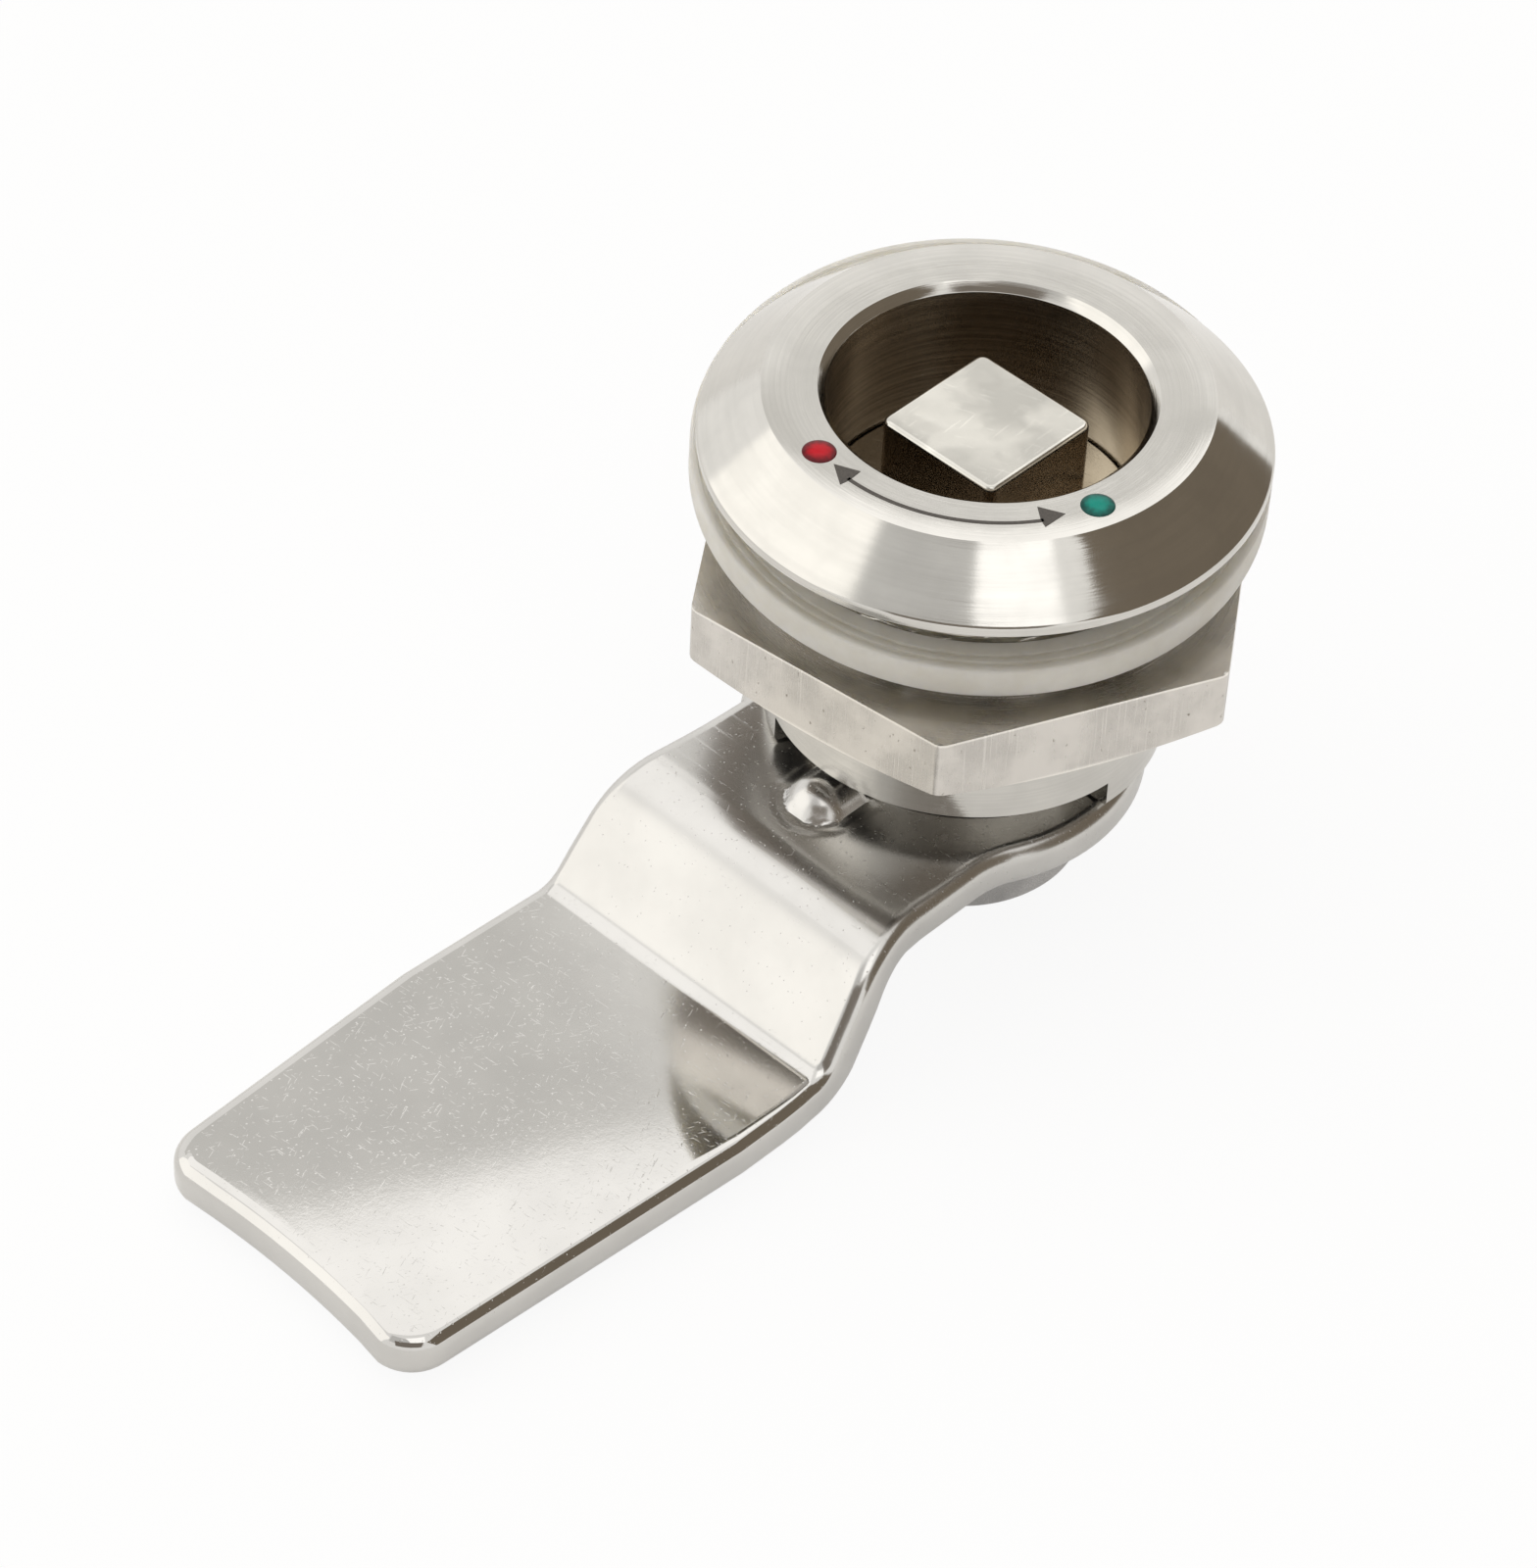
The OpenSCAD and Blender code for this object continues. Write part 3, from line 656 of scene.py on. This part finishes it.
# %% Nodes of one finish
class Finish:
    def __init__(self, tree):
        self.tree = tree
        tree.nodes.clear()

    def fill(self, socket, value):
        """Links a wire to a socket, or sets the socket to a value."""
        if isinstance(value, Wire):
            self.tree.links.new(value.socket, socket)
        else:
            socket.default_value = value

    def node(self, kind, settings=None, inputs=None, output=0):
        """Adds any node: its settings come first, then the values or wires of its sockets."""
        made = self.tree.nodes.new(kind)
        for name, value in (settings or {}).items():
            setattr(made, name, value)
        for name, value in (inputs or {}).items():
            self.fill(made.inputs[name], value)
        return None if output is None else Wire(self, made.outputs[output])

    def mix(self, factor, first, second):
        """A colour between two colours, each a wire or red, green and blue."""
        colours = [(*c, 1.0) if isinstance(c, tuple) else c for c in (first, second)]
        return self.node("ShaderNodeMix", {"data_type": "RGBA"}, {0: factor, 6: colours[0], 7: colours[1]}, 2)

    def place(self):
        """The three object coordinates in millimetres."""
        coordinates = self.node("ShaderNodeTexCoord", output=3)
        parts = [self.node("ShaderNodeSeparateXYZ", {}, {0: coordinates}, i) for i in range(3)]
        return [part * 1000.0 for part in parts]

    def vector(self, x, y, z):
        return self.node("ShaderNodeCombineXYZ", {}, {0: x, 1: y, 2: z})

    def noise(self, where, scale, detail, roughness):
        values = {"Vector": where, "Scale": scale, "Detail": detail, "Roughness": roughness}
        return self.node("ShaderNodeTexNoise", {}, values)

    def specks(self, where, scale):
        """Distance to the nearest of many scattered points."""
        return self.node("ShaderNodeTexVoronoi", {"feature": "F1"}, {"Vector": where, "Scale": scale})

    def bump(self, height, strength, depth, under=None):
        """A bump of a depth in millimetres, on top of the one under it."""
        inputs = {"Height": height, "Strength": strength, "Distance": depth * 0.001}
        if under:
            inputs["Normal"] = under
        return self.node("ShaderNodeBump", {}, inputs)


# %% A finish for one of the lock's materials
def finish_for(name):
    material = bpy.data.materials.new(name)
    material.use_nodes = True
    return material, Finish(material.node_tree)


def surface(finish, constants, wires):
    """Ends a finish in one Principled shader, with its constants set on its own sockets."""
    shader = finish.node("ShaderNodeBsdfPrincipled", {}, {**constants, **wires})
    finish.node("ShaderNodeOutputMaterial", {}, {"Surface": shader}, None)


def shade(colour, share):
    """The same colour, darker or, with a share over 1, lighter."""
    return tuple(c * share for c in colour)


def paint(thing, material):
    thing.data.materials.clear()
    thing.data.materials.append(material)
    print(thing.name, "has the finish", material.name)


# %% [markdown]
# ## Turned steel
# A lathe leaves fine rings that run round the axis. A wave texture could draw them, but its rings are all
# alike. Here the pattern is a noise that changes fast along the profile and hardly at all round it, so its
# first coordinate is the distance from the axis plus the height, and the other two are the slow sine and
# cosine of the angle. The recess gets painted shade, and on one side a painted lighter patch where light
# falls into it.

# %% Turned steel
# Colours of the painted shade inside the recess, and of the painted light on its lighter side.
RECESS_SHADE_DARK, RECESS_SHADE_LIGHT, RECESS_LIT_SIDE = (0.41, 0.36, 0.30), (0.57, 0.51, 0.43), (0.86, 0.80, 0.70)
LIT_SIDE_ANGLE = radians(75)


def turned_steel(name, tint, dull, ring_depth):
    material, f = finish_for(name)
    x, y, z = f.place()
    away = (x * x + y * y).root()
    along = away + z * 0.83
    round_x, round_y = x / (away + 0.01), y / (away + 0.01)
    rings = f.noise(f.vector(along * 9.0, round_x * 0.7, round_y * 0.7), 1.0, 3.0, 0.65)
    fine = f.noise(f.vector(along * 30.0, round_x * 2.0, round_y * 2.0), 1.0, 2.0, 0.6)
    cloud = f.noise(f.vector(x, y, z), 0.35, 3.0, 0.55)
    grain = f.noise(f.vector(x, y, z), 14.0, 2.0, 0.6)
    colour = f.mix(cloud.step(0.35, 0.7), tint, shade(tint, 0.91))
    colour = f.mix(rings.step(0.35, 0.7) * 0.4, colour, shade(tint, 0.84))
    # Painted shade in the recess, with painted light on one side of it.
    inside = away.fall(RECESS_R + 0.02, RECESS_R + 0.10) * z.fall(HEAD_H - 0.5, HEAD_H - 0.4)
    lit_side = (round_x * cos(LIT_SIDE_ANGLE) + round_y * sin(LIT_SIDE_ANGLE)).step(0.72, 0.98) * z.fall(-2.5, -0.5)
    recess_shade = f.mix(rings.step(0.3, 0.7), RECESS_SHADE_DARK, RECESS_SHADE_LIGHT)
    colour = f.mix(inside, colour, f.mix(lit_side, recess_shade, RECESS_LIT_SIDE))
    uneven = (cloud - 0.5) * 0.08 + (rings - 0.5) * 0.10 + (grain - 0.5) * 0.05
    bump = f.bump(rings * 0.7 + fine * 0.3, 0.55, ring_depth)
    bump = f.bump(grain, 0.25, 0.0025, bump)
    rough = uneven + inside * 0.12 + dull
    surface(f, {"Metallic": 1.0}, {"Base Color": colour, "Roughness": rough, "Normal": bump})
    return material


paint(housing, turned_steel("turned_steel", (0.70, 0.685, 0.65), 0.11, 0.013))

# %% [markdown]
# ## Tumbled steel
# The cam was polished by tumbling: bright, with a soft grain, many short scratches in all
# directions and small pits that sparkle. A picture of scratches would repeat and needs a file.
# So a scratch is noise that is stretched along one direction and cut off near its peak.


# %% Scratches in one direction
def scratches(f, x, y, z, turned, across, along, sharpness):
    """1 on the scratches and 0 elsewhere; across and along are how fast the noise changes."""
    c, s = cos(radians(turned)), sin(radians(turned))
    u, v = x * c + y * s, y * c - x * s
    lines = f.noise(f.vector(u * along, v * across, z * across * 0.5), 1.0, 2.0, 0.5)
    return lines.step(sharpness, sharpness + 0.07)


# %% Tumbled steel
def tumbled_steel(name, tint, dull):
    material, f = finish_for(name)
    x, y, z = f.place()
    where = f.vector(x, y, z)
    cloud = f.noise(where, 0.22, 3.0, 0.6)
    grain = f.noise(where, 9.0, 3.0, 0.7)
    rub = f.noise(where, 3.2, 3.0, 0.75)
    marks = scratches(f, x, y, z, 20, 11.0, 1.2, 0.68) + scratches(f, x, y, z, 75, 12.0, 1.5, 0.69)
    marks = marks + scratches(f, x, y, z, 130, 10.0, 1.3, 0.69)
    pits = f.specks(where, 2.6).fall(0.05, 0.13)
    satin = (x * x + y * y).root().fall(13.0, 30.0)
    colour = f.mix(cloud.step(0.3, 0.75), tint, shade(tint, 0.92))
    uneven = (cloud - 0.5) * 0.02 + (grain - 0.5) * 0.02 + marks * 0.06 + pits * 0.15
    bump = f.bump(grain, 0.5, 0.0003)
    bump = f.bump(rub, 0.5, 0.0007, bump)
    bump = f.bump(1.0 - marks * 0.3 - pits, 0.6, 0.012, bump)
    rough = dull + satin * 0.20 + uneven
    surface(f, {"Metallic": 1.0}, {"Base Color": colour, "Roughness": rough, "Normal": bump})
    return material


paint(cam, tumbled_steel("tumbled_steel", (0.66, 0.65, 0.63), 0.035))

# %% [markdown]
# ## Drawn steel of the nut
# The nut's faces are turned and its flats carry upright lines and small pits from the bar that it was cut
# from. It could have two materials, one for the faces and one for the flats, but one finish that looks at the
# direction of the surface needs no seam. The top and bottom edges of the flats are worn and also carry a
# painted highlight, and faces that point down get painted shade.

# %% Steel with upright drawing lines on its flats
# The bright colour serves both the real drawn streaks and a painted highlight on the worn edges; the
# underside colour is painted shade.
PIT_COLOUR, STREAK_AND_EDGE_HIGHLIGHT, UNDERSIDE_SHADE = (0.28, 0.25, 0.21), (0.96, 0.93, 0.88), (0.22, 0.19, 0.16)


def drawn_steel(name, tint, dull):
    material, f = finish_for(name)
    x, y, z = f.place()
    where = f.vector(x, y, z)
    away = (x * x + y * y).root()
    up = f.node("ShaderNodeSeparateXYZ", {}, {0: f.node("ShaderNodeNewGeometry", output=3)}, 2)
    level = up.size().step(0.6, 0.9)
    flat = 1.0 - level
    cloud = f.noise(where, 0.3, 3.0, 0.6)
    lumps = f.noise(where, 1.3, 3.0, 0.7)
    grain = f.noise(where, 12.0, 2.0, 0.6)
    upright = f.noise(f.vector(x * 7.0, y * 7.0, z * 0.35), 1.0, 3.0, 0.65)
    rings = f.noise(f.vector(away * 14.0, x / (away + 0.01), y / (away + 0.01)), 1.0, 3.0, 0.6)
    lines = level * rings + flat * upright
    specks = f.specks(f.vector(x + lumps, y - lumps, z * 0.5), 1.7)
    pits = (specks + lumps * 0.2).fall(0.12, 0.22) * flat
    streaks = f.noise(f.vector(x * 11.0, y * 11.0, z * 0.22), 1.0, 2.0, 0.5).step(0.57, 0.66)
    drawn = streaks * flat * cloud.step(0.42, 0.62)
    # Wear and a painted highlight along the top and bottom edges of the flats.
    rubbed_edge_highlight = z.step(NUT_TOP - 0.17, NUT_TOP - 0.07) + z.fall(NUT_LOW + 0.03, NUT_LOW + 0.25)
    colour = f.mix(cloud.step(0.35, 0.65), tint, shade(tint, 0.8))
    colour = f.mix(pits, colour, PIT_COLOUR)
    colour = f.mix(drawn * 0.3 + rubbed_edge_highlight * flat * 0.8, colour, STREAK_AND_EDGE_HIGHLIGHT)
    # Painted shade on faces that point down.
    colour = f.mix((up * -1.0).step(0.5, 0.8), colour, UNDERSIDE_SHADE)
    rough = dull + (cloud - 0.5) * 0.10 + (lines - 0.5) * 0.12 + (grain - 0.5) * 0.06
    bump = f.bump(lines - drawn * 0.6, 0.5, 0.010)
    bump = f.bump(grain - pits * 2.0, 0.4, 0.010, bump)
    surface(f, {"Metallic": 1.0}, {"Base Color": colour, "Roughness": rough, "Normal": bump})
    return material


paint(nut, drawn_steel("drawn_steel", (0.73, 0.70, 0.66), 0.26))

# %% [markdown]
# ## Polished steel of the spindle and fasteners
# The spindle's square is polished by hand, which leaves soft blotches, while its sides and flange lie deep in
# the recess and get painted shade in dark brown. The washer and the screw have the same steel, but duller and
# without the painted shade. One function makes both, so they stay alike.

# %% Hand-polished steel, and the same steel with painted shade in the recess
# Colours of the painted shade on the flange and on the square's sides.
FLANGE_SHADE, SIDE_SHADE_DARK, SIDE_SHADE_LIGHT = (0.50, 0.46, 0.39), (0.30, 0.25, 0.19), (0.40, 0.34, 0.27)


def polished_steel(name, tint, dull, blotch, shaded_in_recess=False):
    material, f = finish_for(name)
    x, y, z = f.place()
    where = f.vector(x, y, z)
    warp = f.noise(where, 0.4, 2.0, 0.5)
    cloud = f.noise(f.vector(x + warp * 5.0, y + warp * 5.0, z), 0.2, 2.0, 0.5)
    grain = f.noise(where, 11.0, 3.0, 0.6)
    marks = scratches(f, x, y, z, 35, 8.0, 0.6, 0.66) + scratches(f, x, y, z, 110, 7.0, 0.5, 0.67)
    colour = f.mix(cloud.step(0.35, 0.65), tint, shade(tint, 0.68))
    # Painted shade on the flange and the square's sides, which lie deep in the recess.
    if shaded_in_recess:
        colour = f.mix(z.step(1.0, 1.1), FLANGE_SHADE, colour)
        side = z.fall(1.0, 1.1) * z.step(FLANGE_Z + 0.1, FLANGE_Z + 0.2)
        colour = f.mix(side, colour, f.mix(grain.step(0.3, 0.7), SIDE_SHADE_DARK, SIDE_SHADE_LIGHT))
    rough = dull + (cloud - 0.5) * blotch + (grain - 0.5) * 0.08 + marks * 0.05
    bump = f.bump(cloud * 3.0 + grain * 0.15, 0.35, 0.020)
    bump = f.bump(1.0 - marks, 0.3, 0.008, bump)
    surface(f, {"Metallic": 1.0}, {"Base Color": colour, "Roughness": rough, "Normal": bump})
    return material


paint(spindle, polished_steel("spindle_steel", (0.88, 0.86, 0.80), 0.17, 0.14, shaded_in_recess=True))
fastener = polished_steel("fastener_steel", (0.6, 0.59, 0.58), 0.28, 0.10)
paint(washer, fastener)
paint(screw, fastener)

# %% [markdown]
# ## Silicone
# The gasket is milky silicone: light enters it and comes out softly a little farther on. Plain
# glass would be too clear and paint too solid, so it gets subsurface light, some transmission
# and a thin gloss. A little dust lies on it, because silicone always gathers some.

# %% Milky silicone
MILK, CREAM, DUST = (0.90, 0.875, 0.815), (0.82, 0.79, 0.72), (0.9, 0.9, 0.88)
LIGHT_REACH = (0.0018, 0.0017, 0.0014)


def milky_silicone():
    material, f = finish_for("milky_silicone")
    where = f.vector(*f.place())
    cloud = f.noise(where, 0.5, 3.0, 0.6)
    grain = f.noise(where, 6.0, 3.0, 0.6)
    dust = f.specks(where, 1.6).fall(0.02, 0.06)
    colour = f.mix(dust * 0.4, f.mix(cloud.step(0.3, 0.7), MILK, CREAM), DUST)
    rough = 0.34 + (cloud - 0.5) * 0.2 + (grain - 0.5) * 0.1
    bump = f.bump(cloud * 2.0 + grain * 0.3, 0.3, 0.040)
    soft = {"Subsurface Weight": 0.65, "Subsurface Radius": LIGHT_REACH, "Subsurface Scale": 1.0,
            "Transmission Weight": 0.3, "IOR": 1.38}
    surface(f, soft, {"Base Color": colour, "Roughness": rough, "Normal": bump})
    return material


paint(gasket, milky_silicone())

# %% [markdown]
# ## Enamel, print and rubber
# The enamel drops are glossy, with a darker edge and cloudy colour inside. The darker edge could be a ring of
# its own; here the colour darkens towards the edge with the distance from the drop's middle. The print and
# the rubber ring are a plain dull black, and one function makes both.


# %% Enamel
def enamel(name, turned, deep, bright):
    """Enamel of the drop that sits at an angle: deep at its edge and bright inside."""
    material, f = finish_for(name)
    x, y, z = f.place()
    a = radians(turned)
    off_x, off_y = x - MARK_R * cos(a), y - MARK_R * sin(a)
    away = (off_x * off_x + off_y * off_y).root()
    cloud = f.noise(f.vector(x, y, z), 2.6, 2.0, 0.5)
    inside = (away + (cloud - 0.5) * 0.5).fall(0.25, 0.78)
    wires = {"Base Color": f.mix(inside, deep, bright), "Roughness": 0.10 + cloud * 0.10,
             "Normal": f.bump(cloud, 0.3, 0.050)}
    surface(f, {"IOR": 1.5, "Specular IOR Level": 0.22}, wires)
    return material


paint(red, enamel("red_enamel", CLOSED, (0.10, 0.0, 0.004), (0.55, 0.003, 0.014)))
paint(green, enamel("green_enamel", OPEN, (0.0, 0.055, 0.045), (0.002, 0.27, 0.21)))


# %% Arrow print and the hidden rubber ring
def soft_black(name, colour, dull, scale):
    material, f = finish_for(name)
    grain = f.noise(f.vector(*f.place()), scale, 3.0, 0.6)
    wires = {"Base Color": f.mix(grain.step(0.3, 0.7), colour, shade(colour, 1.6)),
             "Roughness": dull + (grain - 0.5) * 0.2, "Normal": f.bump(grain, 0.3, 0.020)}
    surface(f, {}, wires)
    return material


paint(arrow, soft_black("arrow_print", (0.055, 0.047, 0.04), 0.5, 8.0))
paint(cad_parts["spindle_o_ring"], soft_black("black_rubber", (0.02, 0.02, 0.02), 0.45, 5.0))

# %% [markdown]
# ## Camera
# The camera stands where the photograph's camera stood, so that the two can be laid over each
# other. It could be aimed with a constraint, but its place and turn were solved from the
# photograph, so they are written as a matrix: right, up and back are the camera's three axes.
# The point where the axis crosses the face, the size of the picture and the focal length are in
# pixels of the photograph.

# %% Camera at the photograph's angle
BACK_TURN, ELEVATION, DISTANCE, ROLL = radians(-33.2), radians(43.725), 309.862, radians(3.126)
AXIS_SEEN, PICTURE, FOCAL, SENSOR = (1009.282, 397.193), (1568, 1600), 6886.907, 36.0

back = Vector((cos(ELEVATION) * cos(BACK_TURN), cos(ELEVATION) * sin(BACK_TURN), sin(ELEVATION)))
level_right = Vector((-sin(BACK_TURN), cos(BACK_TURN), 0))
level_up = back.cross(level_right)
right = level_right * cos(ROLL) + level_up * sin(ROLL)
up = level_up * cos(ROLL) - level_right * sin(ROLL)
off_x = (AXIS_SEEN[0] - PICTURE[0] / 2) * DISTANCE / FOCAL
off_y = -(AXIS_SEEN[1] - PICTURE[1] / 2) * DISTANCE / FOCAL
spot = (Vector((0, 0, HEAD_H)) + back * DISTANCE - right * off_x - up * off_y) * 0.001
lens = bpy.data.cameras.new("camera")
lens.sensor_width, lens.lens = SENSOR, FOCAL / PICTURE[1] * SENSOR
lens.clip_start, lens.clip_end = 0.01, 100.0
camera = bpy.data.objects.new("camera", lens)
scene.collection.objects.link(camera)
camera.matrix_world = Matrix.Translation(spot) @ Matrix((right, up, back)).transposed().to_4x4()
scene.camera = camera
print("camera at", [round(c, 4) for c in spot], "lens", round(lens.lens, 2))

# %% [markdown]
# ## Floor
# The lock stands on plain white. A white floor under enough light would do it, but that light
# would also wash out the steel. So the camera sees the paper nearly as a white glow, with a
# little real paper left to carry the shadow. Mirrors see less of that glow. From below the
# floor is clear, so that low views see the lock too.

# %% Floor that keeps the shadow
FLOOR_HALF, SEEN_GLOW, MIRRORED_GLOW = 4.0, 0.91, 0.3
PAPER, WHITE = (0.93, 0.92, 0.90), (1.0, 1.0, 1.0)

shape = bmesh.new()
bmesh.ops.create_grid(shape, x_segments=1, y_segments=1, size=FLOOR_HALF)
bmesh.ops.translate(shape, vec=(0, 0, FLOOR_Z * 0.001), verts=shape.verts)
floor_mesh = bpy.data.meshes.new("floor")
shape.to_mesh(floor_mesh)
shape.free()
floor = bpy.data.objects.new("floor", floor_mesh)
scene.collection.objects.link(floor)


# %% Paper of the floor
def glowing_paper(name):
    material, f = finish_for(name)
    camera_ray, glossy_ray, transmission_ray = [f.node("ShaderNodeLightPath", output=i) for i in (0, 3, 6)]
    white = camera_ray * SEEN_GLOW + (glossy_ray + transmission_ray) * MIRRORED_GLOW
    paper = f.node("ShaderNodeBsdfDiffuse", {}, {"Color": (*PAPER, 1.0)})
    glow = f.node("ShaderNodeEmission", {}, {"Color": (*WHITE, 1.0), "Strength": 1.0})
    front = f.node("ShaderNodeMixShader", {}, {0: white, 1: paper, 2: glow})
    seen_from_below = f.node("ShaderNodeNewGeometry", output=6)
    clear = f.node("ShaderNodeBsdfTransparent")
    both = f.node("ShaderNodeMixShader", {}, {0: seen_from_below, 1: front, 2: clear})
    f.node("ShaderNodeOutputMaterial", {}, {"Surface": both}, None)
    return material


paint(floor, glowing_paper("floor_paper"))

# %% [markdown]
# ## Light
# Metal shows what stands round it, so the light is a tent: pale all round, with brighter soft
# boxes and darker patches. Lamps would show as hard shapes in the polished cam. So the tent is
# drawn in the world's nodes, and each soft box is a rectangle seen in a given direction, placed
# where a face of the lock mirrors it. The camera itself sees a plain white backdrop.

# %% World and the direction in which it is seen
world = bpy.data.worlds.new("studio")
scene.world = world
world.use_nodes = True
studio = Finish(world.node_tree)
direction = studio.node("ShaderNodeTexCoord")
dx, dy, dz = [studio.node("ShaderNodeSeparateXYZ", {}, {0: direction}, i) for i in range(3)]


def towards(axis):
    """How far the seen direction points along an axis."""
    return dx * axis.x + dy * axis.y + dz * axis.z


def soft_box(turned, height, wide, tall, edge, roll=0.0):
    """1 inside a rectangle seen in a direction; its half sizes and soft edge are tangents."""
    a, e = radians(turned), radians(height)
    out = Vector((cos(e) * cos(a), cos(e) * sin(a), sin(e)))
    side = Vector((-sin(a), cos(a), 0))
    rise = out.cross(side)
    side, rise = side * cos(roll) + rise * sin(roll), rise * cos(roll) - side * sin(roll)
    ahead = towards(out)
    p, q = (towards(side) / ahead).size(), (towards(rise) / ahead).size()
    return p.fall(wide, wide + edge) * q.fall(tall, tall + edge) * (ahead > 0.02)


# %% Soft boxes of the tent
TENT = (1.04, 1.025, 1.0)
layers = [
    # opposite the camera, mirrored by level faces: a narrow band, and a broad box with a sharp edge
    (soft_box(148, 44.0, 0.75, 0.0625, 0.02), (0.79, 0.775, 0.745)),
    (soft_box(150, 66, 0.70, 0.330, 0.004, 0.24), (1.36, 1.34, 1.31)),
    # bright: left of the camera, then beside it on its left, then high above it
    (soft_box(-121, 27, 0.53, 0.42, 0.08), (1.45, 1.42, 1.36)),
    (soft_box(-60, 50, 0.28, 0.30, 0.10), (0.70, 0.69, 0.67)),
    (soft_box(-14, 60, 0.20, 0.28, 0.05), (1.58, 1.56, 1.53)),
    # dark: where the camera stands, and to its right
    (soft_box(-36, 34, 0.46, 0.24, 0.05), (0.24, 0.21, 0.18)),
    (soft_box(60, 27, 0.92, 0.46, 0.05), (0.20, 0.165, 0.125)),
]
tent = TENT
for mask, colour in layers:
    tent = studio.mix(mask, tent, colour)
seen = studio.node("ShaderNodeLightPath")
sky = studio.node("ShaderNodeBackground", {}, {"Color": studio.mix(seen, tent, WHITE), "Strength": 1.0})
studio.node("ShaderNodeOutputWorld", {}, {"Surface": sky}, None)
print("soft boxes and dark patches:", len(layers))

# %% [markdown]
# ## Picture settings
# The Standard view transform shows a colour as it is written, where a film-like one would grey the white
# backdrop.

# %% Picture settings
scene.view_settings.view_transform = "Standard"
